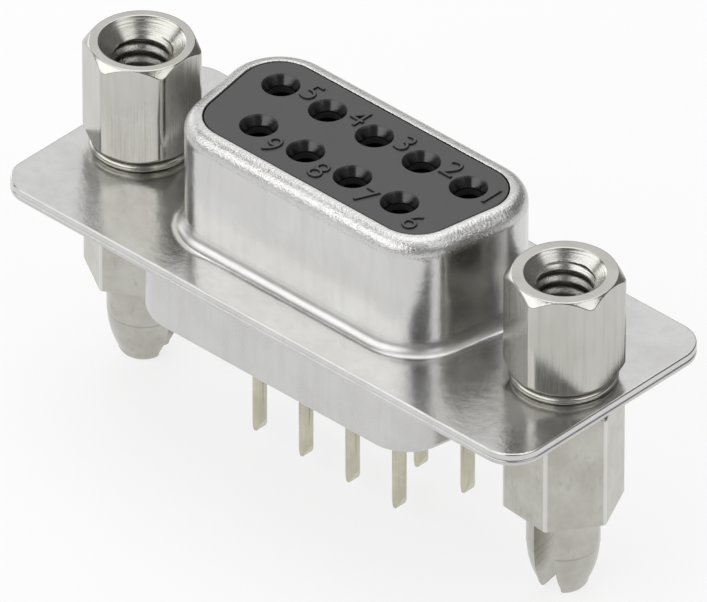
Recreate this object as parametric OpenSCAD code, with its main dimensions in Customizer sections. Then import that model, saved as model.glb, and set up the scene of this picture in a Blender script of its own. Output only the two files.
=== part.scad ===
// Nine-way socket connector with a D-shaped metal shell, standing on a circuit board.
// Lengths are in millimetres. Z = 0 is the board's top face, where the two standoffs sit.
// X runs along the flange, and the row of five contacts lies on the +Y side.

/* [Contacts] */
// Distance between neighbours in a row
contact_pitch = 2.77; // [2.6:0.01:2.9]
// Distance between the two rows
row_pitch = 2.84; // [2.6:0.01:2.95]
// Outer diameter of the springy sleeve that grips a mating pin
sleeve_d = 1.6; // [1.5:0.05:1.7]
// Bore of the sleeve
sleeve_bore_d = 1.04; // [0.9:0.02:1.1]
// Depth of the sleeve's bore
sleeve_bore_l = 5.2; // [4.5:0.1:5.8]
// Width of the slit that splits the sleeve
slit_w = 0.22; // [0.15:0.01:0.3]
// Length of the slit
slit_l = 3.6; // [3:0.1:4.4]
// Diameter of the shoulder clamped between the insulators
shoulder_d = 2.1; // [1.9:0.05:2.2]
// Thickness of the shoulder
shoulder_t = 0.6; // [0.4:0.05:0.8]
// Diameter of the shank in the rear insulator
shank_d = 1.2; // [1:0.05:1.4]
// Diameter of the solder tail
tail_d = 0.64; // [0.5:0.01:0.76]
// Reach of the tail below the board's top face
tail_reach = 3.8; // [3:0.1:4.5]
// Length of the two bevels at the tail's tip
tail_bevel = 0.55; // [0.3:0.05:0.8]
// Width of the blunt tip between the bevels
tail_tip_w = 0.16; // [0.1:0.02:0.3]

/* [Flange] */
// Distance between the two holes for the screw hardware
screw_pitch = 24.99; // [24.6:0.01:25.4]
// Length of the flange beyond a hole's centre
flange_end_l = 2.88; // [2.8:0.01:3.5]
// Depth of the flange from front edge to back edge
flange_h = 12.45; // [12.2:0.05:13]
// Radius of the flange's corners
flange_corner_r = 1.6; // [1:0.1:2.2]
// Diameter of the two holes
flange_hole_d = 3.64; // [3.4:0.02:3.9]

/* [Front shell] */
// Slant of the two short sides of both cups
side_angle = 10; // [8:0.5:12]
// Sheet thickness of the front shell
front_sheet_t = 0.35; // [0.3:0.05:0.5]
// Length of the front cup, over its walls
cup_w = 16.33; // [16.2:0.01:16.6]
// Depth of the front cup, over its walls
cup_h = 7.9; // [7.8:0.01:8.1]
// Radius of the front cup's four upright corners, outside
cup_corner_r = 2.6; // [2.3:0.05:2.8]
// Height of the front cup above the flange
cup_rise = 5.75; // [5.4:0.05:6.2]
// Outer radius of the drawn edge around the mating face
cup_rim_r = 0.72; // [0.55:0.01:0.75]
// Radius of the fillet where the front cup leaves the flange
cup_foot_r = 0.5; // [0.3:0.05:0.7]
// Inset of the window in the front cup from the outside of its wall
cup_window_inset = 0.8; // [0.8:0.01:0.9]

/* [Rear shell] */
// Sheet thickness of the rear shell
rear_sheet_t = 0.25; // [0.2:0.05:0.4]
// Length of the rear cup, over its walls
skirt_w = 19.2; // [19:0.05:19.4]
// Depth of the rear cup, over its walls
skirt_h = 10.7; // [10.5:0.05:10.8]
// Radius of the rear cup's four upright corners, outside
skirt_corner_r = 2.2; // [1.9:0.05:2.6]
// Depth of the rear cup below the flange
skirt_drop = 3.58; // [3.3:0.02:4]
// Outer radius of the drawn edge around the rear window
skirt_rim_r = 0.5; // [0.4:0.05:0.6]
// Radius of the fillet where the rear cup leaves the flange
skirt_foot_r = 0.25; // [0.15:0.05:0.4]
// Inset of the window in the rear cup from the outside of its wall
skirt_window_inset = 0.9; // [0.75:0.05:1.1]

/* [Insulators] */
// Clearance between an insulator and the metal around it
fit_gap = 0.05; // [0.03:0.01:0.08]
// Clearance between a contact and its cavity
contact_gap = 0.04; // [0.03:0.01:0.06]
// Depth of the mating face below the front cup's rim
face_recess = 0.03; // [0:0.01:0.1]
// Depth of the rear insulator's face below the rear cup's rim
rear_recess = 0.1; // [0:0.05:0.3]
// Thickness of the collar clamped behind the front shell
collar_t = 1.2; // [1:0.05:1.5]
// Diameter of the funnel at a contact's mouth
funnel_d = 1.72; // [1.5:0.02:1.9]
// Diameter of the hole below the funnel
entry_d = 1.08; // [1.04:0.02:1.2]
// Length of the straight hole between the funnel and the sleeve
entry_l = 0.5; // [0.3:0.05:0.8]

/* [Screwlocks] */
// Width across the flats of all four hexagons
hex_across = 4.66; // [4.5:0.01:4.8]
// Radius of a screwlock's upright edges
lock_edge_r = 0.4; // [0.1:0.01:0.5]
// Height of a screwlock's hexagon
lock_h = 5.04; // [4.6:0.02:5.4]
// Diameter of the flat ring on top of a screwlock
lock_top_d = 4.58; // [4.3:0.02:4.64]
// Diameter of the flat ring under a screwlock's hexagon
lock_seat_d = 4.32; // [4.1:0.02:4.4]
// Diameter of the left countersink's mouth
left_mouth_d = 3.84; // [3.4:0.02:4]
// Diameter of the right countersink's mouth
right_mouth_d = 3.58; // [3.4:0.02:4]
// Diameter of the screwlock's tapped hole
tap_d = 2.4; // [2.2:0.05:2.5]
// Depth of the tapped hole, to the end of its full diameter
tap_l = 4.4; // [3.5:0.1:4.4]
// Diameter of the screwlock's threaded stud
stud_d = 2.8; // [2.7:0.02:2.85]
// Length of the stud
stud_l = 5.4; // [4:0.1:5.6]
// Turn of the left screwlock's hexagon
left_lock_turn = -27; // [-60:0.1:60]
// Turn of the right screwlock's hexagon
right_lock_turn = -20.7; // [-60:0.1:60]

/* [Standoffs] */
// Height of the standoffs' hexagon, from the board to the flange
standoff_h = 5.93; // [5.4:0.01:6.4]
// Radius of a standoff's upright edges
standoff_edge_r = 0.12; // [0.05:0.01:0.4]
// Diameter of the standoff's flat ring under the flange
standoff_top_d = 4.5; // [4.2:0.05:4.6]
// Diameter of the neck that is riveted through the flange
neck_d = 3.6; // [3.4:0.02:3.8]
// Diameter of the rim that the neck is rolled out to
rivet_rim_d = 4.7; // [4.5:0.02:4.8]
// Height of the rolled rim above the flange
rivet_rim_h = 0.38; // [0.3:0.02:0.5]
// Radial clearance between the stud and its tapped hole
thread_gap = 0.02; // [0.01:0.01:0.05]
// Width of the lead-in at the tapped hole's mouth
thread_lead = 0.15; // [0.05:0.05:0.3]
// Spare depth of the tapped hole beyond the stud
tap_spare = 0.3; // [0.1:0.1:0.6]
// Diameter of the board peg
peg_d = 3.22; // [3:0.02:3.3]
// Length of the board peg
peg_l = 4.45; // [4:0.05:5]
// Length of the peg's straight part
peg_straight_l = 2.2; // [1.8:0.05:2.6]
// Diameter of the peg's tip before it is rounded
peg_tip_d = 2.26; // [1.9:0.02:2.4]
// Radius of the rounded tip
peg_tip_r = 0.4; // [0.2:0.05:0.6]
// Width of the saw cut that splits the peg
cut_w = 1.05; // [0.6:0.05:1.2]
// Turn of the left standoff's hexagon
left_standoff_turn = -30.6; // [-60:0.1:60]
// Turn of the right standoff's hexagon
right_standoff_turn = -4.7; // [-60:0.1:60]
// Direction of the left peg's saw cut
left_cut_turn = 18; // [-90:1:90]
// Direction of the right peg's saw cut
right_cut_turn = -80; // [-90:1:90]

/* [Hidden] */
$fn = 72;
wide_row = 5;
contacts = 9;
contact_names = [for (number = [1:contacts]) str("contact_", number)];

// Room that a cutting shape runs past the solid it cuts
over = 1;

// Flats that stand for each upright corner and each bend of the drawn shells
corner_steps = 8;
bend_steps = 5;

flange_w = screw_pitch + 2 * flange_end_l;

// Heights of the stacked sheets, from the board up
sheet_joint_z = standoff_h + rear_sheet_t;
flange_top_z = sheet_joint_z + front_sheet_t;
rim_z = flange_top_z + cup_rise;
lock_base_z = flange_top_z + rivet_rim_h;
skirt_end_z = standoff_h - skirt_drop;

// Heights of the insulators and contacts
face_z = rim_z - face_recess;
rear_face_z = skirt_end_z + rear_recess;
split_z = sheet_joint_z - collar_t;
funnel_l = (funnel_d - entry_d) / 2;
sleeve_end_z = face_z - funnel_l - entry_l;

// Normals of the sides that meet at each corner, in degrees, one more than there are corners
d_turns = [-side_angle, 90, 180 + side_angle, 270, 360 - side_angle];
plate_turns = [0, 90, 180, 270, 360];
hex_turns = [for (side = [0:6]) 60 * side - 30];

// Centres of a D's corner arcs, counterclockwise from the wide side's right corner
function d_corners(w, h, r) =
    let (
        up = h / 2 - r,
        wide = w / 2 - r,
        narrow = wide - 2 * up * tan(side_angle)
    )
    [[wide, up], [-wide, up], [-narrow, -up], [narrow, -up]];

function plate_corners(w, h, r) =
    [for (quadrant = [[1, 1], [-1, 1], [-1, -1], [1, -1]])
        [quadrant.x * (w / 2 - r), quadrant.y * (h / 2 - r)]];

function hex_corners(across, r) =
    [for (corner = [0:5]) (across / 2 - r) / cos(30) * [cos(60 * corner), sin(60 * corner)]];

// Numbered as seen on the mating face: 1 to 5 from the right, then 6 to 9
function contact_place(number) =
    number <= wide_row
        ? [((wide_row + 1) / 2 - number) * contact_pitch, row_pitch / 2]
        : [((wide_row + 1 + contacts) / 2 - number) * contact_pitch, -row_pitch / 2];

cup_corners = d_corners(cup_w, cup_h, cup_corner_r);
skirt_corners = d_corners(skirt_w, skirt_h, skirt_corner_r);

// Convex outline with round corners of radius r about the given centres
module rounded(corners, turns, r) {
    for (corner = corners)
        translate(corner) circle(r);
    polygon([
        for (i = [0:len(corners) - 1], side = [turns[i], turns[i + 1]])
            corners[i] + r * [cos(side), sin(side)]
    ]);
}

module d_outline(corners, r) {
    rounded(corners, d_turns, r);
}

module hexagon(edge_r) {
    rounded(hex_corners(hex_across, edge_r), hex_turns, edge_r);
}

// Points of an arc from one direction to another
function arc(centre, r, from, to) =
    [for (step = [0:bend_steps]) let (angle = from + (to - from) * step / bend_steps)
        centre + r * [cos(angle), sin(angle)]];

// One level ring around four corners, with as many points at each corner whatever its turn
function ring(corners, turns, r, z) =
    [for (i = [0:3], step = [0:corner_steps])
        let (angle = turns[i] + (turns[i + 1] - turns[i]) * step / corner_steps)
        [corners[i].x + r * cos(angle), corners[i].y + r * sin(angle), z]];

// Section of a drawn cup, from the flange's face over the rim and back down inside.
// Each point is the ring's corner radius and its height above the flange's back
function cup_section(corner_r, sheet, rise, rim, foot, inset) =
    let (
        foot_centre = [corner_r + foot, sheet + foot],
        rim_centre = [corner_r - rim, sheet + rise - rim]
    )
    concat(
        arc(foot_centre, foot, 270, 180),
        arc(rim_centre, rim, 0, 90),
        [[corner_r - inset, sheet + rise], [corner_r - inset, rise]],
        arc(rim_centre, rim - sheet, 90, 0),
        arc(foot_centre, foot + sheet, 180, 270)
    );

// Closed skin through rings of equal length, the last of which joins the first
module skin(rings) {
    count = len(rings[0]);
    polyhedron(
        points = [for (one = rings) each one],
        faces = [
            for (i = [0:len(rings) - 1], j = [0:count - 1])
                let (
                    here = i * count,
                    there = (i + 1) % len(rings) * count,
                    next = (j + 1) % count
                )
                [here + j, there + j, there + next, here + next]
        ]
    );
}

// Flange with a D-shaped cup drawn from it. The flange's back is at z = 0
module drawn_shell(corners, corner_r, sheet, rise, rim, foot, inset) {
    edge = plate_corners(flange_w, flange_h, flange_corner_r);
    difference() {
        skin(concat(
            [for (point = cup_section(corner_r, sheet, rise, rim, foot, inset))
                ring(corners, d_turns, point.x, point.y)],
            [for (z = [0, sheet]) ring(edge, plate_turns, flange_corner_r, z)]
        ));
        for (side = [-1, 1])
            translate([side * screw_pitch / 2, 0, -over])
                cylinder(d = flange_hole_d, h = sheet + 2 * over);
    }
}

module front_shell() {
    color("silver")
        translate([0, 0, sheet_joint_z])
            drawn_shell(cup_corners, cup_corner_r, front_sheet_t, cup_rise,
                        cup_rim_r, cup_foot_r, cup_window_inset);
}

module rear_shell() {
    color("gainsboro")
        translate([0, 0, sheet_joint_z])
            mirror([0, 0, 1])
                drawn_shell(skirt_corners, skirt_corner_r, rear_sheet_t, skirt_drop,
                            skirt_rim_r, skirt_foot_r, skirt_window_inset);
}

// Moulded body that fills the front cup and shows in its window
module front_insulator() {
    body_r = cup_corner_r - front_sheet_t - fit_gap;
    face_r = cup_corner_r - cup_window_inset - fit_gap;
    collar_r = skirt_corner_r - rear_sheet_t - fit_gap;
    shoulder_z = rim_z - cup_rim_r;
    color("dimgray")
        difference() {
            union() {
                translate([0, 0, split_z])
                    linear_extrude(collar_t) d_outline(skirt_corners, collar_r);
                translate([0, 0, split_z])
                    linear_extrude(shoulder_z - split_z) d_outline(cup_corners, body_r);
                translate([0, 0, split_z])
                    linear_extrude(face_z - split_z) d_outline(cup_corners, face_r);
            }
            for (number = [1:contacts])
                translate(contact_place(number)) front_cavity();
        }
}

// Funnel, entry hole and sleeve cavity of one contact, as one turned shape
module front_cavity() {
    cavity_r = sleeve_d / 2 + contact_gap;
    cavity_end_z = sleeve_end_z + contact_gap;
    rotate_extrude()
        polygon([
            [0, split_z - over],
            [cavity_r, split_z - over],
            [cavity_r, cavity_end_z],
            [entry_d / 2, cavity_end_z],
            [entry_d / 2, face_z - funnel_l],
            [funnel_d / 2 + over, face_z + over],
            [0, face_z + over]
        ]);
}

// Moulded body that closes the rear cup behind the contacts' shoulders
module rear_insulator() {
    body_r = skirt_corner_r - rear_sheet_t - fit_gap;
    face_r = skirt_corner_r - skirt_window_inset - fit_gap;
    shoulder_z = skirt_end_z + skirt_rim_r;
    color("dimgray")
        difference() {
            union() {
                translate([0, 0, shoulder_z])
                    linear_extrude(split_z - shoulder_z) d_outline(skirt_corners, body_r);
                translate([0, 0, rear_face_z])
                    linear_extrude(split_z - rear_face_z) d_outline(skirt_corners, face_r);
            }
            for (number = [1:contacts])
                translate(contact_place(number)) rear_cavity();
        }
}

// Shoulder pocket and shank hole of one contact
module rear_cavity() {
    pocket_r = shoulder_d / 2 + contact_gap;
    hole_r = shank_d / 2 + contact_gap;
    rotate_extrude()
        polygon([
            [0, rear_face_z - over],
            [hole_r, rear_face_z - over],
            [hole_r, split_z - shoulder_t],
            [pocket_r, split_z - shoulder_t],
            [pocket_r, split_z + over],
            [0, split_z + over]
        ]);
}

// Turned contact: split sleeve, shoulder, shank and bevelled solder tail
module contact(number) {
    color("khaki")
        translate(contact_place(number))
            difference() {
                union() {
                    contact_body();
                    solder_tail();
                }
                translate([0, 0, sleeve_end_z - slit_l / 2 + over / 2])
                    cube([slit_w, sleeve_d + over, slit_l + over], center = true);
            }
}

module contact_body() {
    sleeve_r = sleeve_d / 2;
    bore_r = sleeve_bore_d / 2;
    bore_end_z = sleeve_end_z - sleeve_bore_l;
    lead_in = (sleeve_r - bore_r) / 2;
    rotate_extrude()
        polygon([
            [0, rear_face_z],
            [shank_d / 2, rear_face_z],
            [shank_d / 2, split_z - shoulder_t],
            [shoulder_d / 2, split_z - shoulder_t],
            [shoulder_d / 2, split_z],
            [sleeve_r, split_z],
            [sleeve_r, sleeve_end_z],
            [bore_r + lead_in, sleeve_end_z],
            [bore_r, sleeve_end_z - lead_in],
            [bore_r, bore_end_z],
            [0, bore_end_z - bore_r]
        ]);
}

// Round tail whose tip is cut to a blunt wedge
module solder_tail() {
    reach = rear_face_z + tail_reach;
    tip = tail_tip_w / 2;
    side = tail_d / 2 + over;
    side_z = tail_bevel * (side - tip) / (tail_d / 2 - tip);
    translate([0, 0, -tail_reach])
        intersection() {
            cylinder(d = tail_d, h = reach);
            rotate([90, 0, 0])
                linear_extrude(tail_d + over, center = true)
                    polygon([
                        [-tip, 0],
                        [tip, 0],
                        [side, side_z],
                        [side, reach],
                        [-side, reach],
                        [-side, side_z]
                    ]);
        }
}

// Room in which a bar of the given height is left when its upper end is turned at 45 degrees
module turned_top(height, d) {
    outer_r = hex_across;
    rotate_extrude()
        polygon([
            [0, -over],
            [outer_r, -over],
            [outer_r, height - outer_r + d / 2],
            [d / 2, height],
            [0, height]
        ]);
}

// Tapped hole that opens upwards at z = 0 through a 45 degree countersink
module tapped_hole(d, depth, opening_d) {
    rotate_extrude()
        polygon([
            [0, over],
            [opening_d / 2 + over, over],
            [d / 2, (d - opening_d) / 2],
            [d / 2, -depth],
            [0, -depth - d / 4]
        ]);
}

// Hexagonal jack socket and its stud, turned in one piece
module screwlock(side, turn, mouth_d) {
    color("lightgray")
        translate([side * screw_pitch / 2, 0, lock_base_z])
            difference() {
                union() {
                    intersection() {
                        rotate(turn) linear_extrude(lock_h) hexagon(lock_edge_r);
                        turned_top(lock_h, lock_top_d);
                        translate([0, 0, lock_h]) mirror([0, 0, 1]) turned_top(lock_h, lock_seat_d);
                    }
                    stud();
                }
                translate([0, 0, lock_h]) tapped_hole(tap_d, tap_l, mouth_d);
            }
}

module stud() {
    lead = (stud_d - tap_d) / 2;
    root = (lock_h - tap_l) / 2;
    translate([0, 0, -stud_l])
        rotate_extrude()
            polygon([
                [0, 0],
                [stud_d / 2 - lead, 0],
                [stud_d / 2, lead],
                [stud_d / 2, stud_l + root],
                [0, stud_l + root]
            ]);
}

// Hexagonal standoff, riveted through the flange and tapped for the stud. A split peg below it
// snaps into the board
module standoff(side, turn, cut_turn) {
    hole_d = stud_d + 2 * thread_gap;
    hole_l = stud_l + tap_spare;
    color("lightgray")
        translate([side * screw_pitch / 2, 0, 0]) {
            difference() {
                union() {
                    intersection() {
                        rotate(turn) linear_extrude(standoff_h) hexagon(standoff_edge_r);
                        turned_top(standoff_h, standoff_top_d);
                    }
                    rivet_neck();
                }
                translate([0, 0, lock_base_z]) tapped_hole(hole_d, hole_l, hole_d + 2 * thread_lead);
            }
            difference() {
                board_peg();
                rotate(cut_turn)
                    translate([0, 0, -peg_l / 2])
                        cube([peg_d + over, cut_w, peg_l], center = true);
            }
        }
}

// Neck through the flange, rolled out over its front into a rim with a round edge
module rivet_neck() {
    bead_r = rivet_rim_h / 2;
    rim_flat_r = rivet_rim_d / 2 - bead_r;
    translate([0, 0, standoff_h / 2]) cylinder(d = neck_d, h = lock_base_z - standoff_h / 2);
    translate([0, 0, flange_top_z])
        rotate_extrude() {
            translate([rim_flat_r, bead_r]) circle(bead_r);
            square([rim_flat_r, rivet_rim_h]);
        }
}

// Peg that draws in more and more towards its rounded tip
module board_peg() {
    slope_l = peg_l - peg_straight_l - peg_tip_r;
    slope_steps = 5;
    rotate_extrude()
        polygon([
            [0, 0],
            [peg_d / 2, 0],
            for (step = [0:slope_steps])
                let (part = step / slope_steps)
                [peg_d / 2 - (peg_d - peg_tip_d) / 2 * part ^ 2, -peg_straight_l - slope_l * part],
            for (angle = [15:15:90])
                [peg_tip_d / 2 - peg_tip_r * (1 - cos(angle)), -peg_l + peg_tip_r * (1 - sin(angle))],
            [0, -peg_l]
        ]);
}

module screwlock_left() {
    screwlock(-1, left_lock_turn, left_mouth_d);
}

module screwlock_right() {
    screwlock(1, right_lock_turn, right_mouth_d);
}

module standoff_left() {
    standoff(-1, left_standoff_turn, left_cut_turn);
}

module standoff_right() {
    standoff(1, right_standoff_turn, right_cut_turn);
}

front_shell();
rear_shell();
front_insulator();
rear_insulator();
for (number = [1:contacts])
    contact(number);
screwlock_left();
screwlock_right();
standoff_left();
standoff_right();
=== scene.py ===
import math

import bmesh
import bpy
from mathutils import Matrix, Vector


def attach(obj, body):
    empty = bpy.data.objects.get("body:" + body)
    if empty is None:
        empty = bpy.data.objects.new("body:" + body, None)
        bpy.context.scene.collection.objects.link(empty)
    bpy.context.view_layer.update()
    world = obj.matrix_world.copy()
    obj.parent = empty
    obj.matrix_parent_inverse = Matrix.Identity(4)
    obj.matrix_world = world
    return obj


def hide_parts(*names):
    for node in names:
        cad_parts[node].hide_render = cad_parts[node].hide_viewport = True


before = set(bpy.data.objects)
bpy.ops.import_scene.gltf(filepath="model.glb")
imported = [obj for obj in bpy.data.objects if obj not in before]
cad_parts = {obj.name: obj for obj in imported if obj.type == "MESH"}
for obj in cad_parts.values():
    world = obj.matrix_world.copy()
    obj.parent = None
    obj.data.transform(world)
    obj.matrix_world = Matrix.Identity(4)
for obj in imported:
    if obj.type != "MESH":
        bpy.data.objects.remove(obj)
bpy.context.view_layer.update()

MM = 0.001

# Contacts
CONTACTS = 9
WIDE_ROW = 5
CONTACT_PITCH = 2.77
ROW_PITCH = 2.84

# Flange, and the two cups drawn from it. Rim and foot are the radii of a cup's bends on its outer side,
# and inset is how far its lip reaches in from its wall
SCREW_PITCH = 24.99
FLANGE_END_L = 2.88
FLANGE_W = SCREW_PITCH + 2 * FLANGE_END_L
FLANGE_H = 12.45
FLANGE_CORNER_R = 1.6
FLANGE_HOLE_R = 1.82
SIDE_ANGLE = 10
FRONT_CUP = {"w": 16.33, "h": 7.9, "corner_r": 2.6, "sheet": 0.35, "rise": 5.75,
             "rim": 0.72, "foot": 0.6, "inset": 0.8}
REAR_CUP = {"w": 19.2, "h": 10.7, "corner_r": 2.2, "sheet": 0.25, "rise": 3.58,
            "rim": 0.5, "foot": 0.25, "inset": 0.9}

# Rounds on the sheets' edges, and the flat margin between such a round and the flange's face
SHEET_EDGE_R = 0.08
LIP_R = 0.06
HOLE_EDGE_R = 0.04
MARGIN = 0.04

# Heights above the board
STANDOFF_H = 5.93
SHEET_JOINT_Z = STANDOFF_H + REAR_CUP["sheet"]
FLANGE_TOP_Z = SHEET_JOINT_Z + FRONT_CUP["sheet"]
RIM_Z = FLANGE_TOP_Z + FRONT_CUP["rise"]
FACE_DEPTH = 0.03
FACE_Z = RIM_Z - FACE_DEPTH
SPLIT_DEPTH = 1.2
SPLIT_Z = SHEET_JOINT_Z - SPLIT_DEPTH

# Insulator and its cavities
FIT_GAP = 0.05
FACE_EDGE_R = 0.05
FUNNEL_R = 0.86
FUNNEL_L = 0.46
ENTRY_R = 0.6
ENTRY_L = 0.36
CAVITY_R = 0.84
FUNNEL_EDGE_R = 0.03

# Raised numbers, each with a dark line around it that is a painted shadow, and how far they stand from their
# holes
DIGIT_H = 1.15
DIGIT_RAISE = 0.06
DIGIT_BEVEL = 0.02
DIGIT_BEVEL_STEPS = 2
DIGIT_WEIGHT = -0.025
DIGIT_SHADOW_RAISE = 0.004
DIGIT_SHADOW_WEIGHT = 0.012
FIRST_DIGIT = (1.2, 0.15)
WIDE_DIGIT = (1.4, 0.48)
NARROW_DIGIT = (1.42, -0.68)

# Screwlock, and the hexagon that it shares with the standoff
HEX_ACROSS = 4.66
FLAT_SHARE = math.cos(math.radians(30))
LOCK_EDGE_R = 0.4
STANDOFF_EDGE_R = 0.12
LOCK_H = 5.04
LOCK_TOP_R = 2.29
LOCK_SEAT_R = 2.16
MOUTH_EDGE_R = 0.04
STUD_R = 1.4
STUD_L = 5.4
STUD_LEAD = 0.2

# Tapped hole of a screwlock. Its thread's flanks start and end at shares of the pitch from a crest
TAP_L = 4.4
THREAD_ROOT_R = 1.36
THREAD_CREST_R = 1.2
THREAD_PITCH = 0.635
THREAD_TURNS = 8
THREAD_STEPS = 16
THREAD_COLUMNS = 108
FLANK_START = 0.07
FLANK_END = 0.42

# Standoff, with its riveted neck and its split peg
RIVET_RIM_R = 2.35
RIVET_RIM_H = 0.38
LOCK_BASE_Z = FLANGE_TOP_Z + RIVET_RIM_H
LOCK_TOP_Z = LOCK_BASE_Z + LOCK_H
NECK_R = 1.8
BORE_R = 1.42
BORE_L = 5.7
BORE_LEAD = 0.1
STANDOFF_TOP_R = 2.25
PEG_R = 1.61
PEG_L = 4.45
PEG_STRAIGHT_L = 2.2
PEG_TIP_R = 1.13
PEG_TIP_ROUND = 0.4
PEG_STEP = 0.03
CUT_W = 1.05

# What differs between the two ends, with turns in degrees
SIDES = {
    "left": {"x": -SCREW_PITCH / 2, "mouth_r": 1.92,
             "lock_turn": -27, "standoff_turn": -30.6, "cut_turn": 18},
    "right": {"x": SCREW_PITCH / 2, "mouth_r": 1.79,
              "lock_turn": -20.7, "standoff_turn": -4.7, "cut_turn": -80},
}

# How far corners are eased, and the largest share of a side that this may take
SHARP_EASE = 0.03
TOP_EASE = 0.04
BEVEL_EASE = 0.05
EASE_SHARE = 0.45

# Fineness of the meshes
CORNER_STEPS = 20
BEND_STEPS = 8
EDGE_STEPS = 3
FACE_EDGE_STEPS = 4
ROUND_STEPS = 72
EASE_STEPS = 4
HEX_EDGE_STEPS = 5
HEX_FLAT_STEPS = 12
BEAD_STEPS = 10
SLOPE_STEPS = 8
TIP_STEPS = 8
LEG_STEPS = 24
SHARP_ANGLE = 38
MERGE = 1e-4

# Noise in the finishes, and the span of its values over which patches change colour
NOISE_ROUGHNESS = 0.55
PATCHES = (0.3, 0.7)

# Camera, solved from the photograph
CAMERA_AZIMUTH = 43.343
CAMERA_ELEVATION = 35.725
CAMERA_DISTANCE = 1043
CAMERA_LENS = 1232.6
CAMERA_SENSOR = 36
CLIP_NEAR = 100
CLIP_FAR = 20000
AIM_Z = 6.18
AIM_RIGHT = 0.067
AIM_DOWN = 1.572

# Room, and floor
ROOM_LEVEL = 0.17
FLOOR_REACH = 2000
FLOOR_LEVEL = 0.9
FLOOR_ROUGHNESS = 0.35
WHITE_SHARE = 0.8

# Soft boxes: degrees to the camera's right, degrees up, width and height in millimetres, and brightness
BOX_DISTANCE = 600
SOFT_BOXES = {
    "left": (-63.5, 35, (990, 440), 1.75),
    "right": (51, 42, (430, 320), 1.5),
    "back": (180, 40, (720, 520), 0.8),
    "far": (-138, 14, (400, 200), 1.9),
    "top": (180, 82, (560, 560), 1.5),
}


# Node trees written as Python

class Link:
    """A node's output, with Python's operators for its maths."""

    def __init__(self, net, node, output=0):
        self.net = net
        self.node = node
        self.socket = node.outputs[output] if len(node.outputs) else None

    def of(self, output):
        return Link(self.net, self.node, output)

    def maths(self, operation, *values):
        return self.net.node("ShaderNodeMath", {"operation": operation}, *values)

    def __add__(self, other):
        return self.maths("ADD", self, other)

    def __radd__(self, other):
        return self.maths("ADD", other, self)

    def __sub__(self, other):
        return self.maths("SUBTRACT", self, other)

    def __rsub__(self, other):
        return self.maths("SUBTRACT", other, self)

    def __mul__(self, other):
        return self.maths("MULTIPLY", self, other)

    def __rmul__(self, other):
        return self.maths("MULTIPLY", other, self)

    def __truediv__(self, other):
        return self.maths("DIVIDE", self, other)

    def __rtruediv__(self, other):
        return self.maths("DIVIDE", other, self)

    def __abs__(self):
        return self.maths("ABSOLUTE", self)

    def root(self):
        return self.maths("SQRT", self)

    def fraction(self):
        return self.maths("FRACT", self)

    def at_least(self, other):
        return self.maths("MAXIMUM", self, other)

    def at_most(self, other):
        return self.maths("MINIMUM", self, other)

    def sine(self):
        return self.maths("SINE", self)

    def cosine(self):
        return self.maths("COSINE", self)

    def ramp(self, low, high):
        """0 below low, 1 above high, and straight between them."""
        return self.net.node("ShaderNodeMapRange", {}, self, low, high, 0.0, 1.0)

    def rise(self, low, high):
        """0 below low, 1 above high, and smooth between them."""
        return self.net.node("ShaderNodeMapRange", {"interpolation_type": "SMOOTHSTEP"},
                             self, low, high, 0.0, 1.0)

    def fall(self, low, high):
        """1 below low, 0 above high, and smooth between them."""
        return 1 - self.rise(low, high)


class Net:
    """A node tree that nodes are added to."""

    def __init__(self, tree):
        self.tree = tree

    def node(self, kind, settings=None, *values, **named):
        made = self.tree.nodes.new(kind)
        for key, value in (settings or {}).items():
            setattr(made, key, value)
        pairs = list(zip(made.inputs, values))
        pairs += [(made.inputs[key.replace("_", " ")], value) for key, value in named.items()]
        for slot, value in pairs:
            self.feed(slot, value)
        return Link(self, made)

    def feed(self, slot, value):
        if isinstance(value, Link):
            self.tree.links.new(value.socket, slot)
        elif value is not None:
            slot.default_value = value

    def blend(self, factor, one, other):
        """Colour one where factor is 0, and the other where it is 1."""
        made = self.tree.nodes.new("ShaderNodeMix")
        made.data_type = "RGBA"
        colours = [slot for slot in made.inputs if slot.type == "RGBA"]
        for slot, value in zip([made.inputs[0], *colours], [factor, one, other]):
            self.feed(slot, value)
        return Link(self, made, [slot.type for slot in made.outputs].index("RGBA"))


class Finish(Net):
    """A material of one Principled shader."""

    def __init__(self, name):
        self.material = bpy.data.materials.new(name)
        self.material.use_nodes = True
        super().__init__(self.material.node_tree)
        self.shader = self.tree.nodes["Principled BSDF"]
        self.place = self.node("ShaderNodeTexCoord").of("Object")

    def noise(self, size, along_z=1.0, detail=3.0):
        """Noise whose features are about size millimetres wide. Below 1, along_z draws them out upright."""
        place = self.node("ShaderNodeMapping", {}, self.place, Scale=(1, 1, along_z))
        return self.node("ShaderNodeTexNoise", {}, Vector=place, Scale=1 / (size * MM),
                         Detail=detail, Roughness=NOISE_ROUGHNESS)

    def bands(self, along, per_mm, detail):
        """Noise that changes along one measure only, about per_mm times in a millimetre."""
        return self.node("ShaderNodeTexNoise", {"noise_dimensions": "1D"},
                         W=along, Scale=per_mm, Detail=detail)

    def axes(self):
        split = self.node("ShaderNodeSeparateXYZ", {}, self.place)
        return split.of("X") / MM, split.of("Y") / MM, split.of("Z") / MM

    def from_screw(self):
        """Distance from the nearer screw's axis, and height."""
        x, y, z = self.axes()
        off_axis = abs(x) - SCREW_PITCH / 2
        return (off_axis * off_axis + y * y).root(), z

    def bump(self, height, depth, under=None):
        """Normal that stands for a height of depth millimetres where height is 1."""
        return self.node("ShaderNodeBump", {}, Strength=1.0, Distance=depth * MM,
                         Height=height, Normal=under)

    def shade(self, **values):
        for key, value in values.items():
            self.feed(self.shader.inputs[key.replace("_", " ")], value)
        return self.material


def grey(level, warmth=0.0):
    """A grey. Warmth is the share taken off its blue, with a fifth as much off its green."""
    return (level, level * (1 - 0.2 * warmth), level * (1 - warmth), 1)


# Finishes

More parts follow.
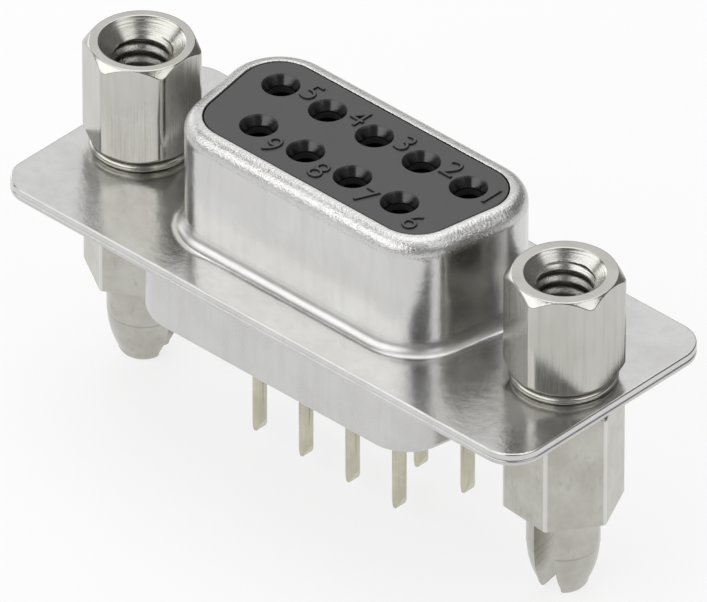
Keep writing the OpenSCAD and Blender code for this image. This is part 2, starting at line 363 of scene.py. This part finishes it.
def tin_plate(name, level, roughness, ripple, bends=()):
    """Drawn sheet with a tin plate. It is grained in each bend, a span of heights where it was stretched."""
    finish = Finish(name)
    z = finish.axes()[2]
    cloud = finish.noise(2.4)
    swirl = finish.noise(0.9, detail=2.0)
    speck = finish.noise(0.11)
    streaks = finish.noise(0.5, along_z=0.12)
    stretched = z * 0
    for low, high in bends:
        stretched = stretched + z.rise(low - 0.2, low + 0.1) * z.fall(high - 0.1, high + 0.2)
    tint = finish.blend(cloud.rise(0.35, 0.65), grey(level * 0.93, 0.03), grey(level, 0.012))
    colour = finish.blend(streaks.rise(0.42, 0.72) * 0.35, tint, grey(level * 0.84, 0.04))
    foot = z.rise(FLANGE_TOP_Z + 0.02, FLANGE_TOP_Z + 0.12) * z.fall(FLANGE_TOP_Z + 0.4, FLANGE_TOP_Z + 0.9)
    rough = roughness + stretched * 0.08 + foot * 0.17 + (cloud - 0.5) * 0.16 + (speck - 0.5) * 0.16
    ripples = finish.bump(cloud * 0.45 + swirl * 0.4 + streaks * 0.15, ripple)
    grain = finish.bump(speck * (0.09 + stretched), 0.03, ripples)
    return finish.shade(Base_Color=colour, Metallic=1.0, Roughness=rough, Normal=grain)


def turned_nickel(name, level, roughness):
    """Bar stock with lengthwise drawing lines, rings on its turned end, and a duller thread down its mouth,
    whose colour darkens deep down as painted shade.
    """
    finish = Finish(name)
    radius, z = finish.from_screw()
    widest = max(sizes["mouth_r"] for sizes in SIDES.values())
    lines = finish.noise(0.09, along_z=0.03)
    streaks = finish.noise(0.28, along_z=0.05)
    cloud = finish.noise(1.8, along_z=0.5, detail=2.0)
    burrs = finish.noise(0.13, along_z=1.6)
    rings = finish.bands(radius + z, per_mm=9.0, detail=3.0)
    inside = radius.fall(LOCK_TOP_R - 0.02, LOCK_TOP_R + 0.02)
    lathed = inside * z.rise(LOCK_TOP_Z - 1.1, LOCK_TOP_Z - 0.9)
    deep = inside * z.fall(LOCK_TOP_Z - 1.5, LOCK_TOP_Z - 0.55)
    cone = radius.fall(widest + 0.03, widest + 0.08) * z.fall(LOCK_TOP_Z - 0.1, LOCK_TOP_Z - 0.04)
    mouth = cone * (1 - deep)
    height = lines * (1 - lathed) * 0.8 + rings * lathed * (0.5 + mouth * 0.9 + deep) + burrs * deep * 2.5
    tint = finish.blend(cloud.rise(*PATCHES), grey(level * 0.9, 0.1), grey(level, 0.065))
    drawn = finish.blend(streaks.rise(0.45, 0.75) * (1 - lathed) * 0.24, tint, grey(level * 0.66, 0.1))
    # Painted shade: the colour darkens deep down the tapped hole, more where the burr noise is high
    colour = finish.blend(deep * (0.02 + burrs * 0.7), drawn, grey(0.07, 0.08))
    rough = roughness + (cloud - 0.5) * 0.14 + (lines - 0.5) * 0.1 + deep * 0.1 + mouth * 0.06
    return finish.shade(Base_Color=colour, Metallic=1.0, Roughness=rough, Normal=finish.bump(height, 0.008))


def standoff_nickel(name, level, roughness):
    """Dull plate with a painted highlight along the hexagon's upright edges, painted shade in rings at the
    peg's root and at the start of its slope, and tool marks around the peg.
    """
    finish = Finish(name)
    radius, z = finish.from_screw()
    cloud = finish.noise(1.3, detail=4.0)
    stains = finish.noise(0.35, along_z=0.5)
    lines = finish.noise(0.1, along_z=0.04)
    marks = finish.bands(z, per_mm=7.0, detail=2.0)
    corner_r = HEX_ACROSS / 2 / FLAT_SHARE
    # Painted highlight: a lighter colour along the hexagon's upright edges
    edge = radius.rise(corner_r - 0.07, corner_r - 0.04) * z.rise(-0.05, 0.05)
    peg = z.fall(-0.06, -0.02)
    # Painted shade: dark rings where the peg leaves the hexagon and where its slope starts
    painted_ring_shade = 1 - abs(z + PEG_STRAIGHT_L).rise(0.02, 0.08) * abs(z + 0.04).rise(0.02, 0.08)
    tint = finish.blend(cloud.rise(*PATCHES), grey(level * 0.88, 0.14), grey(level * 1.06, 0.1))
    stained = finish.blend(stains.rise(0.55, 0.75) * 0.5, tint, grey(level * 0.72, 0.08))
    painted_edge_highlight = finish.blend(edge * 0.6, stained, grey(level * 1.5, 0.05))
    colour = finish.blend(painted_ring_shade * peg * 0.35, painted_edge_highlight, grey(level * 0.5, 0.1))
    rough = roughness + (cloud - 0.5) * 0.16 - edge * 0.1
    height = lines * (1 - peg) + marks * peg * 0.8
    return finish.shade(Base_Color=colour, Metallic=1.0, Roughness=rough, Normal=finish.bump(height, 0.006))


def contact_tin(name, level, warmth, roughness):
    """Yellowish tin plate. Above the split of the insulators its colour is painted near black, as painted
    shade for the dark of its cavity, and it is rougher there.
    """
    finish = Finish(name)
    cloud = finish.noise(1.2)
    lines = finish.noise(0.08, along_z=0.05)
    # Painted shade: near black above the split, where the contact lies in its cavity
    depth = finish.axes()[2].rise(SPLIT_Z, SPLIT_Z + 0.3)
    tint = finish.blend(cloud.rise(*PATCHES), grey(level * 0.88, warmth), grey(level * 1.05, warmth))
    streaked = finish.blend(lines.rise(0.45, 0.7) * 0.4, tint, grey(level * 0.75, warmth))
    colour = finish.blend(depth, streaked, grey(0.001))
    rough = roughness + (cloud - 0.5) * 0.18 + depth * 0.7
    return finish.shade(Base_Color=colour, Metallic=1.0, Roughness=rough, Normal=finish.bump(lines, 0.004))


def moulded_plastic(name, level, gloss):
    """Glass-filled plastic, nearly black: a dull grained face, and funnels smoothed by their mould pins.
    Below the face its colour darkens as painted shade in the holes.
    """
    finish = Finish(name)
    cloud = finish.noise(1.4)
    grain = finish.noise(0.07, detail=2.0)
    z = finish.axes()[2]
    # Painted shade: the colour darkens down the funnels and cavities, below the face
    painted_hole_shade = z.fall(FACE_Z - 0.12, FACE_Z - 0.03)
    deep = z.fall(FACE_Z - FUNNEL_L - 0.1, FACE_Z - FUNNEL_L)
    face = finish.blend(cloud.rise(*PATCHES), grey(level * 0.9), grey(level * 1.1))
    colour = finish.blend(painted_hole_shade, face, grey(level * 0.2))
    rough = 0.38 + (cloud - 0.5) * 0.14 + (grain - 0.5) * 0.1 - painted_hole_shade * 0.2 + deep * 0.7
    return finish.shade(Base_Color=colour, Roughness=rough, Specular_IOR_Level=gloss,
                        Normal=finish.bump(grain, 0.003))


# Meshes

def placed(name, data):
    """A new object in the scene."""
    made = bpy.data.objects.new(name, data)
    bpy.context.scene.collection.objects.link(made)
    return made


def plain_mesh(name, drawn):
    """The mesh of what was drawn. The drawing is freed."""
    data = bpy.data.meshes.new(name)
    drawn.to_mesh(data)
    drawn.free()
    return data


def evaluated_mesh(source):
    """The plain mesh that an object's modifiers make. The object is removed."""
    depsgraph = bpy.context.evaluated_depsgraph_get()
    data = bpy.data.meshes.new_from_object(source.evaluated_get(depsgraph))
    bpy.data.objects.remove(source)
    return data


def arc(centre, r, start, end, steps=BEND_STEPS):
    points = []
    for step in range(steps + 1):
        angle = math.radians(start + (end - start) * step / steps)
        points.append((centre[0] + r * math.cos(angle), centre[1] + r * math.sin(angle)))
    return points


def circle(r, z, x=0, y=0):
    return [(x + px, y + py, z) for px, py in arc((0, 0), r, 0, 360, ROUND_STEPS)[:-1]]


def eased(points):
    """Rounds a section's corners. Each point is a radius, a height and how far its corner is eased."""
    section = [points[0][:2]]
    for before, here, after in zip(points, points[1:], points[2:]):
        reach = here[2]
        corner = Vector(here[:2])
        if reach == 0:
            section.append(tuple(corner))
            continue
        to_before = Vector(before[:2]) - corner
        to_after = Vector(after[:2]) - corner
        start = corner + to_before * min(EASE_SHARE, reach / max(to_before.length, MERGE))
        end = corner + to_after * min(EASE_SHARE, reach / max(to_after.length, MERGE))
        for step in range(EASE_STEPS + 1):
            share = step / EASE_STEPS
            section.append(tuple(start.lerp(corner, share).lerp(corner.lerp(end, share), share)))
    section.append(points[-1][:2])
    return section


def skin(mesh, rings):
    """Faces between rings with equally many points."""
    rows = [[mesh.verts.new(point) for point in ring] for ring in rings]
    for low, high in zip(rows, rows[1:]):
        for here in range(len(low)):
            there = (here + 1) % len(low)
            mesh.faces.new((low[here], low[there], high[there], high[here]))
    return rows


def plate(mesh, loops):
    """A flat face bounded by the first loop of points, with the other loops as its holes."""
    edges = []
    for loop in loops:
        verts = [mesh.verts.new(point) for point in loop]
        edges += [mesh.edges.new((here, there)) for here, there in zip(verts, verts[1:] + verts[:1])]
    bmesh.ops.triangle_fill(mesh, use_beauty=True, edges=edges)


def piece(name, mesh, material, slot, *replaced):
    """Turns a mesh in millimetres into a finished object that rides on the part."""
    bmesh.ops.scale(mesh, vec=(MM, MM, MM), verts=mesh.verts)
    bmesh.ops.remove_doubles(mesh, verts=mesh.verts, dist=MERGE * MM)
    bmesh.ops.dissolve_degenerate(mesh, dist=MERGE * MM, edges=mesh.edges)
    bmesh.ops.recalc_face_normals(mesh, faces=mesh.faces)
    data = plain_mesh(name, mesh)
    data.materials.append(material)
    data.shade_smooth()
    data.set_sharp_from_angle(angle=math.radians(SHARP_ANGLE))
    made = placed(name, data)
    weighted = made.modifiers.new("even_shading", "WEIGHTED_NORMAL")
    weighted.keep_sharp = True
    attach(made, "root")
    if replaced:
        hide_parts(*replaced)


def repaint(name, material):
    """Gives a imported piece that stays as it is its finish."""
    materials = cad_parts[name].data.materials
    materials.clear()
    materials.append(material)


def d_corners(w, h, r):
    """Centres of a D's corner arcs, counterclockwise from the wide side's right corner."""
    up = h / 2 - r
    wide = w / 2 - r
    narrow = wide - 2 * up * math.tan(math.radians(SIDE_ANGLE))
    return [(wide, up), (-wide, up), (-narrow, -up), (narrow, -up)]


D_TURNS = [-SIDE_ANGLE, 90, 180 + SIDE_ANGLE, 270, 360 - SIDE_ANGLE]
PLATE_TURNS = [0, 90, 180, 270, 360]
FRONT_CORNERS = d_corners(FRONT_CUP["w"], FRONT_CUP["h"], FRONT_CUP["corner_r"])
REAR_CORNERS = d_corners(REAR_CUP["w"], REAR_CUP["h"], REAR_CUP["corner_r"])


def ring(corners, turns, r, z):
    """One level outline around four corners."""
    points = []
    for centre, start, end in zip(corners, turns, turns[1:]):
        points += [(x, y, z) for x, y in arc(centre, r, start, end, CORNER_STEPS)]
    return points


def contact_place(number):
    if number <= WIDE_ROW:
        return ((WIDE_ROW + 1) / 2 - number) * CONTACT_PITCH, ROW_PITCH / 2
    return ((WIDE_ROW + 1 + CONTACTS) / 2 - number) * CONTACT_PITCH, -ROW_PITCH / 2


# Drawn shells

def drawn_shell(name, cup, corners, material, slot, upwards):
    """Flange with a D-shaped cup drawn from it, at one sheet thickness, with both holes."""
    sheet, rise, rim, foot = cup["sheet"], cup["rise"], cup["rim"], cup["foot"]
    corner_r, inset = cup["corner_r"], cup["inset"]
    foot_centre = (corner_r + foot, sheet + foot)
    rim_centre = (corner_r - rim, sheet + rise - rim)
    cup_section = [
        (foot_centre[0] + MARGIN, sheet),
        *arc(foot_centre, foot, 270, 180),
        *arc(rim_centre, rim, 0, 90),
        *arc((corner_r - inset + LIP_R, sheet + rise - LIP_R), LIP_R, 90, 180, EDGE_STEPS),
        (corner_r - inset, rise),
        *arc(rim_centre, rim - sheet, 90, 0),
        *arc(foot_centre, foot + sheet, 180, 270),
        (foot_centre[0] + MARGIN, 0),
    ]
    edge = SHEET_EDGE_R
    inner = FLANGE_CORNER_R - edge
    border_section = [
        (inner - MARGIN, 0),
        *arc((inner, edge), edge, 270, 360, EDGE_STEPS),
        *arc((inner, sheet - edge), edge, 0, 90, EDGE_STEPS),
        (inner - MARGIN, sheet),
    ]
    hole_edge = HOLE_EDGE_R
    hole_section = [
        (FLANGE_HOLE_R + hole_edge + MARGIN, 0),
        *arc((FLANGE_HOLE_R + hole_edge, hole_edge), hole_edge, 270, 180, EDGE_STEPS),
        *arc((FLANGE_HOLE_R + hole_edge, sheet - hole_edge), hole_edge, 180, 90, EDGE_STEPS),
        (FLANGE_HOLE_R + hole_edge + MARGIN, sheet),
    ]
    half_w = FLANGE_W / 2 - FLANGE_CORNER_R
    half_h = FLANGE_H / 2 - FLANGE_CORNER_R
    quarters = [(half_w, half_h), (-half_w, half_h), (-half_w, -half_h), (half_w, -half_h)]
    cup_rings = [ring(corners, D_TURNS, r, z) for r, z in cup_section]
    border_rings = [ring(quarters, PLATE_TURNS, r, z) for r, z in border_section]
    hole_rings = [[circle(r, z, side * SCREW_PITCH / 2) for r, z in hole_section] for side in (-1, 1)]
    mesh = bmesh.new()
    for rings in (cup_rings, border_rings, *hole_rings):
        skin(mesh, rings)
    plate(mesh, [border_rings[0], cup_rings[-1], hole_rings[0][0], hole_rings[1][0]])
    plate(mesh, [border_rings[-1], cup_rings[0], hole_rings[0][-1], hole_rings[1][-1]])
    for vert in mesh.verts:
        vert.co.z = SHEET_JOINT_Z + (vert.co.z if upwards else -vert.co.z)
    piece(name + "_drawn", mesh, material, slot, name)


# What repeats or follows a path, made by geometry nodes

def tree_with(name, inputs):
    """An empty geometry tree with a geometry socket and named inputs."""
    tree = bpy.data.node_groups.new(name, "GeometryNodeTree")
    tree.interface.new_socket("Geometry", in_out="INPUT", socket_type="NodeSocketGeometry")
    for label, kind in inputs:
        tree.interface.new_socket(label, in_out="INPUT", socket_type=kind)
    tree.interface.new_socket("Geometry", in_out="OUTPUT", socket_type="NodeSocketGeometry")
    return Net(tree)


def close_tree(net, geometry, material):
    """Ends a tree in real geometry that has its material."""
    solid = net.node("GeometryNodeRealizeInstances", {}, geometry)
    painted = net.node("GeometryNodeSetMaterial", {}, solid, Material=material)
    net.node("NodeGroupOutput", {}, painted)
    return net.tree


def grown(name, data, tree, values):
    """Runs a geometry tree on a mesh and returns the plain mesh that it makes."""
    source = placed(name, data)
    modifier = source.modifiers.new(name, "NODES")
    modifier.node_group = tree
    sockets = {item.name: item.identifier for item in tree.interface.items_tree if item.in_out == "INPUT"}
    for label, value in values.items():
        modifier[sockets[label]] = value
    return evaluated_mesh(source)


def two_rows_tree(material):
    """Copies of the incoming mesh at every contact, in a wide row and a narrow one."""
    net = tree_with("two_rows", [("Pitch", "NodeSocketFloat"), ("Row Pitch", "NodeSocketFloat"),
                                 ("Wide Row", "NodeSocketInt"), ("Narrow Row", "NodeSocketInt")])
    given = net.node("NodeGroupInput")
    pitch = given.of("Pitch")
    step = net.node("ShaderNodeCombineXYZ", {}, pitch)
    lines = []
    for label, side in (("Wide Row", 0.5), ("Narrow Row", -0.5)):
        count = given.of(label)
        start = net.node("ShaderNodeCombineXYZ", {}, (count - 1) * pitch * -0.5, given.of("Row Pitch") * side)
        line = net.node("GeometryNodeMeshLine", {}, Count=count)
        net.feed(line.node.inputs["Start Location"], start)
        net.feed(line.node.inputs["Offset"], step)
        lines.append(line)
    rows = net.node("GeometryNodeJoinGeometry", {}, lines[0])
    net.tree.links.new(lines[1].socket, rows.node.inputs[0])
    copies = net.node("GeometryNodeInstanceOnPoints", {}, Points=rows, Instance=given.of("Geometry"))
    return close_tree(net, copies, material)


def tapped_wall_tree(material):
    """The wall of a countersunk tapped hole: a grid rolled up along the thread's helix."""
    net = tree_with("tapped_wall", [("Turns", "NodeSocketInt"), ("Steps", "NodeSocketInt"),
                                    ("Columns", "NodeSocketInt"), ("Pitch", "NodeSocketFloat"),
                                    ("Root Radius", "NodeSocketFloat"), ("Crest Radius", "NodeSocketFloat"),
                                    ("Mouth Radius", "NodeSocketFloat"), ("Start", "NodeSocketFloat"),
                                    ("Depth", "NodeSocketFloat")])
    given = net.node("NodeGroupInput")
    turns, steps, pitch = given.of("Turns"), given.of("Steps"), given.of("Pitch")
    grid = net.node("GeometryNodeMeshGrid", {}, 1.0, 1.0, given.of("Columns"), turns * steps + 1)
    place = net.node("ShaderNodeSeparateXYZ", {}, net.node("GeometryNodeInputPosition"))
    turn = place.of("X") + 0.5
    run = (0.5 - place.of("Y")) * turns
    from_crest = abs((run + 0.5 / steps).fraction() - 0.5)
    flank = from_crest.ramp(FLANK_START, FLANK_END)
    start, crest = given.of("Start"), given.of("Crest Radius")
    wall = crest + (given.of("Root Radius") - crest) * flank
    depth = (start + (run - turn) * pitch).at_least(start).at_most(given.of("Depth"))
    radius = wall.at_least(given.of("Mouth Radius") - depth)
    angle = turn * 2 * math.pi
    across = radius * angle.cosine()
    along = radius * angle.sine()
    rolled = net.node("ShaderNodeCombineXYZ", {}, across, along, depth * -1)
    wound = net.node("GeometryNodeSetPosition", {}, grid, Position=rolled)
    return close_tree(net, wound, material)


# Insulator with its face, nine funnels and raised numbers

def cavity():
    """The walls of one contact's funnel, entry hole and cavity, about the Z axis."""
    funnel_end_z = FACE_Z - FUNNEL_L
    entry_end_z = funnel_end_z - ENTRY_L
    section = eased([
        (FUNNEL_R + FUNNEL_EDGE_R, FACE_Z, 0),
        (FUNNEL_R, FACE_Z, FUNNEL_EDGE_R),
        (ENTRY_R, funnel_end_z, SHARP_EASE),
        (ENTRY_R, entry_end_z, 0),
        (CAVITY_R, entry_end_z, 0),
        (CAVITY_R, SPLIT_Z, 0),
    ])
    mesh = bmesh.new()
    skin(mesh, [circle(r, z) for r, z in section])
    return plain_mesh("cavity", mesh)


def front_insulator(material):
    body_r = FRONT_CUP["corner_r"] - FRONT_CUP["sheet"] - FIT_GAP
    face_r = FRONT_CUP["corner_r"] - FRONT_CUP["inset"] - FIT_GAP
    collar_r = REAR_CUP["corner_r"] - REAR_CUP["sheet"] - FIT_GAP
    shoulder_z = RIM_Z - FRONT_CUP["rim"]
    edge = arc((face_r - FACE_EDGE_R, FACE_Z - FACE_EDGE_R), FACE_EDGE_R, 90, 0, FACE_EDGE_STEPS)
    rings = [ring(FRONT_CORNERS, D_TURNS, r, z) for r, z in edge]
    rings += [ring(FRONT_CORNERS, D_TURNS, face_r, shoulder_z),
              ring(FRONT_CORNERS, D_TURNS, body_r, shoulder_z),
              ring(FRONT_CORNERS, D_TURNS, body_r, SHEET_JOINT_Z),
              ring(REAR_CORNERS, D_TURNS, collar_r, SHEET_JOINT_Z),
              ring(REAR_CORNERS, D_TURNS, collar_r, SPLIT_Z)]
    mesh = bmesh.new()
    skin(mesh, rings)
    places = [contact_place(number) for number in range(1, CONTACTS + 1)]
    plate(mesh, [rings[0]] + [circle(FUNNEL_R + FUNNEL_EDGE_R, FACE_Z, x, y) for x, y in places])
    plate(mesh, [rings[-1]] + [circle(CAVITY_R, SPLIT_Z, x, y) for x, y in places])
    cavities = grown("cavities", cavity(), two_rows_tree(material), {
        "Pitch": CONTACT_PITCH, "Row Pitch": ROW_PITCH,
        "Wide Row": WIDE_ROW, "Narrow Row": CONTACTS - WIDE_ROW})
    mesh.from_mesh(cavities)
    piece("front_insulator_face", mesh, material, "insulator", "front_insulator")


def text_mesh(body, weight=0.0, height=0.0, bevel=0.0):
    """A text's plain mesh, at the size in which its letters come."""
    text = bpy.data.curves.new("text", "FONT")
    text.body = body
    text.offset = weight
    text.extrude = height
    text.bevel_depth = bevel
    text.bevel_resolution = DIGIT_BEVEL_STEPS
    return evaluated_mesh(placed("text", text))


def number_mesh(number, weight, height, bevel):
    """One plain number about the origin, sized before any weight is added to its strokes."""
    plain = text_mesh(str(number))
    spans = [(min(values), max(values)) for values in zip(*(vert.co for vert in plain.vertices))]
    middle = Vector([(low + high) / 2 for low, high in spans])
    scale = DIGIT_H / (spans[1][1] - spans[1][0])
    digit = text_mesh(str(number), weight, height / scale, bevel / scale)
    digit.transform(Matrix.Scale(scale, 4) @ Matrix.Translation(-middle))
    return digit


def digit_shift(number):
    if number == 1:
        return FIRST_DIGIT
    return WIDE_DIGIT if number <= WIDE_ROW else NARROW_DIGIT


def numbers(name, material, weight, height, bevel=0.0):
    """Plain numbers beside the holes, upright when the wide row is on top."""
    mesh = bmesh.new()
    for number in range(1, CONTACTS + 1):
        x, y = contact_place(number)
        right, up = digit_shift(number)
        digit = number_mesh(number, weight, height, bevel)
        digit.transform(Matrix.Translation((x + right, y + up, FACE_Z)))
        mesh.from_mesh(digit)
    piece(name, mesh, material, "insulator")


# Turned and hexagonal pieces

def hex_columns(turn, edge_r):
    """Directions and distances of a rounded hexagon's outline."""
    reach = (HEX_ACROSS / 2 - edge_r) / FLAT_SHARE
    outline = []
    for corner in range(6):
        angle = 60 * corner + turn
        centre = arc((0, 0), reach, angle, angle, 1)[0]
        edge = arc(centre, edge_r, angle - 30, angle + 30, HEX_EDGE_STEPS)
        next_centre = arc((0, 0), reach, angle + 60, angle + 60, 1)[0]
        start, end = Vector(edge[-1]), Vector(arc(next_centre, edge_r, angle + 30, angle + 30, 1)[0])
        outline += [Vector(point) for point in edge]
        outline += [start.lerp(end, step / HEX_FLAT_STEPS) for step in range(1, HEX_FLAT_STEPS)]
    return [(point.normalized(), point.length) for point in outline]


def turned(mesh, columns, section_at, x, base_z):
    """A skin whose section depends on how far its outline lies from the axis."""
    sections = [section_at(reach) for _, reach in columns]
    rings = []
    for level in range(len(sections[0])):
        rings.append([
            (x + way.x * section[level][0], way.y * section[level][0], base_z + section[level][1])
            for (way, _), section in zip(columns, sections)
        ])
    skin(mesh, rings)


def lock_section(reach, mouth_r):
    return eased([
        (0, -STUD_L, 0),
        (STUD_R - STUD_LEAD, -STUD_L, SHARP_EASE),
        (STUD_R, STUD_LEAD - STUD_L, SHARP_EASE),
        (STUD_R, 0, 0),
        (LOCK_SEAT_R, 0, SHARP_EASE),
        (reach, reach - LOCK_SEAT_R, BEVEL_EASE),
        (reach, LOCK_H - reach + LOCK_TOP_R, BEVEL_EASE),
        (LOCK_TOP_R, LOCK_H, TOP_EASE),
        (mouth_r, LOCK_H, MOUTH_EDGE_R),
        (mouth_r - 2 * MOUTH_EDGE_R, LOCK_H - 2 * MOUTH_EDGE_R, 0),
    ])


def screwlock(side, material):
    sizes = SIDES[side]
    mesh = bmesh.new()
    turned(mesh, hex_columns(sizes["lock_turn"], LOCK_EDGE_R),
           lambda reach: lock_section(reach, sizes["mouth_r"]), sizes["x"], LOCK_BASE_Z)
    wall = grown("tapped_wall", bpy.data.meshes.new("seed"), tapped_wall_tree(material), {
        "Turns": THREAD_TURNS, "Steps": THREAD_STEPS, "Columns": THREAD_COLUMNS, "Pitch": THREAD_PITCH,
        "Root Radius": THREAD_ROOT_R, "Crest Radius": THREAD_CREST_R, "Mouth Radius": sizes["mouth_r"],
        "Start": 2 * MOUTH_EDGE_R, "Depth": TAP_L})
    wall.transform(Matrix.Translation((sizes["x"], 0, LOCK_TOP_Z)))
    mesh.from_mesh(wall)
    plate(mesh, [circle(THREAD_ROOT_R, LOCK_TOP_Z - TAP_L, sizes["x"])])
    piece(f"screwlock_{side}_turned", mesh, material, "screwlock_nickel", f"screwlock_{side}")


def standoff_section(reach):
    bead_r = RIVET_RIM_H / 2
    bead = arc((RIVET_RIM_R - bead_r, FLANGE_TOP_Z + bead_r), bead_r, 270, 450, BEAD_STEPS)
    bore_top_z = LOCK_BASE_Z
    bore_end_z = bore_top_z - BORE_L
    hexagon = eased([
        (0, 0, 0),
        (reach, 0, SHARP_EASE),
        (reach, STANDOFF_H - reach + STANDOFF_TOP_R, BEVEL_EASE),
        (STANDOFF_TOP_R, STANDOFF_H, TOP_EASE),
        (NECK_R, STANDOFF_H, 0),
    ])
    bore = [(BORE_R + BORE_LEAD, bore_top_z), (BORE_R, bore_top_z - BORE_LEAD), (BORE_R, bore_end_z),
            (0, bore_end_z - BORE_R / 2)]
    return hexagon + [(NECK_R, FLANGE_TOP_Z)] + bead + bore


def standoff(side, material):
    sizes = SIDES[side]
    mesh = bmesh.new()
    turned(mesh, hex_columns(sizes["standoff_turn"], STANDOFF_EDGE_R), standoff_section, sizes["x"], 0)
    for way in (0, 180):
        peg_leg(mesh, sizes["x"], sizes["cut_turn"] + 90 + way)
    piece(f"standoff_{side}_turned", mesh, material, "standoff_nickel", f"standoff_{side}")


def peg_leg(mesh, x, turn):
    """Half of the split peg, on the side that the turn points to."""
    half_cut = CUT_W / 2
    tip = arc((PEG_TIP_R - PEG_TIP_ROUND, PEG_TIP_ROUND - PEG_L), PEG_TIP_ROUND, 0, -90, TIP_STEPS)
    slope_l = PEG_L - PEG_STRAIGHT_L - PEG_TIP_ROUND
    parts = [step / SLOPE_STEPS for step in range(SLOPE_STEPS)]
    slope_r = PEG_R - PEG_STEP
    section = [(PEG_R, 0), (PEG_R, PEG_STEP - PEG_STRAIGHT_L)]
    section += [(slope_r - (slope_r - PEG_TIP_R) * part ** 2, -PEG_STRAIGHT_L - slope_l * part)
                for part in parts]
    section += [point for point in tip if point[0] > half_cut + MERGE]
    rings = []
    for r, z in section:
        spread = math.degrees(math.acos(half_cut / r))
        curve = arc((0, 0), r, turn - spread, turn + spread, LEG_STEPS)
        rings.append([(x + px, py, z) for px, py in curve])
    rows = skin(mesh, rings)
    mesh.faces.new(rows[0])
    mesh.faces.new(rows[-1])


# Studio

def direction(turn, lift):
    """From the part outwards, in degrees to the camera's right and degrees up."""
    turn = math.radians(CAMERA_AZIMUTH - 90 + turn)
    lift = math.radians(lift)
    return Vector((math.cos(turn) * math.cos(lift), math.sin(turn) * math.cos(lift), math.sin(lift)))


def build_camera():
    right = direction(90, 0)
    back = direction(0, CAMERA_ELEVATION)
    up = back.cross(right)
    aim = Vector((0, 0, AIM_Z)) + right * AIM_RIGHT - up * AIM_DOWN
    data = bpy.data.cameras.new("camera")
    data.sensor_fit = "HORIZONTAL"
    data.sensor_width = CAMERA_SENSOR
    data.lens = CAMERA_LENS
    data.clip_start = CLIP_NEAR * MM
    data.clip_end = CLIP_FAR * MM
    camera = placed("camera", data)
    turn = Matrix((right, up, back)).transposed().to_4x4()
    camera.matrix_world = Matrix.Translation((aim + back * CAMERA_DISTANCE) * MM) @ turn
    bpy.context.scene.camera = camera


def soft_box(name, turn, lift, size, brightness):
    """A lamp of the given width and height that faces the part. Brightness 1 is white."""
    data = bpy.data.lights.new(name, "AREA")
    data.shape = "RECTANGLE"
    data.size, data.size_y = size[0] * MM, size[1] * MM
    data.energy = brightness * math.pi * data.size * data.size_y
    lamp = placed(name, data)
    place = direction(turn, lift) * BOX_DISTANCE
    lamp.location = place * MM
    lamp.rotation_euler = place.to_track_quat("Z", "Y").to_euler()
    lamp.visible_camera = False


def build_world():
    """A dim grey room."""
    world = bpy.data.worlds.new("studio")
    bpy.context.scene.world = world
    world.use_nodes = True
    world.node_tree.nodes["Background"].inputs["Color"].default_value = grey(ROOM_LEVEL)


def build_floor():
    """A pale floor that the camera, metal and glass see nearly white, and that keeps the part's shadow."""
    mesh = bmesh.new()
    bmesh.ops.create_grid(mesh, x_segments=1, y_segments=1, size=FLOOR_REACH * MM)
    data = plain_mesh("floor", mesh)
    floor = placed("floor", data)
    floor.location.z = -PEG_L * MM
    finish = Finish("pale_floor")
    finish.shade(Base_Color=grey(FLOOR_LEVEL), Roughness=FLOOR_ROUGHNESS)
    glow = finish.node("ShaderNodeEmission", {}, grey(1), 1.0)
    ray = finish.node("ShaderNodeLightPath")
    seen = ray.of("Is Camera Ray").at_least(ray.of("Is Glossy Ray")).at_least(ray.of("Is Transmission Ray"))
    mixed = finish.node("ShaderNodeMixShader", {}, seen * WHITE_SHARE, Link(finish, finish.shader), glow)
    finish.feed(finish.tree.nodes["Material Output"].inputs["Surface"], mixed)
    data.materials.append(finish.material)


build_camera()
build_world()
build_floor()
for name, (turn, lift, size, brightness) in SOFT_BOXES.items():
    soft_box(name, turn, lift, size, brightness)

rim_bend = (RIM_Z - FRONT_CUP["rim"], RIM_Z)
bright_tin = tin_plate("bright_tin", level=0.65, roughness=0.21, ripple=0.03, bends=[rim_bend])
satin_tin = tin_plate("satin_tin", level=0.62, roughness=0.3, ripple=0.014)
nickel = turned_nickel("turned_nickel", level=0.55, roughness=0.19)
peg_nickel = standoff_nickel("standoff_nickel", level=0.5, roughness=0.22)
tail_tin = contact_tin("contact_tin", level=0.58, warmth=0.22, roughness=0.25)
plastic = moulded_plastic("dark_plastic", level=0.024, gloss=0.9)
# Painted shadow: near-black copies of the numbers, a little wider, lie flat under them
number_shadow_paint = moulded_plastic("number_groove", level=0.008, gloss=0.25)

drawn_shell("front_shell", FRONT_CUP, FRONT_CORNERS, bright_tin, "front_shell_tin", upwards=True)
drawn_shell("rear_shell", REAR_CUP, REAR_CORNERS, satin_tin, "rear_shell_tin", upwards=False)
front_insulator(plastic)
numbers("numbers", plastic, DIGIT_WEIGHT, DIGIT_RAISE, DIGIT_BEVEL)
# Painted shadow around each number
numbers("number_shadows", number_shadow_paint, DIGIT_SHADOW_WEIGHT, DIGIT_SHADOW_RAISE)
for side in SIDES:
    screwlock(side, nickel)
    standoff(side, peg_nickel)

repaint("rear_insulator", plastic)
for number in range(1, CONTACTS + 1):
    repaint(f"contact_{number}", tail_tin)

bpy.context.scene.view_settings.view_transform = "Standard"
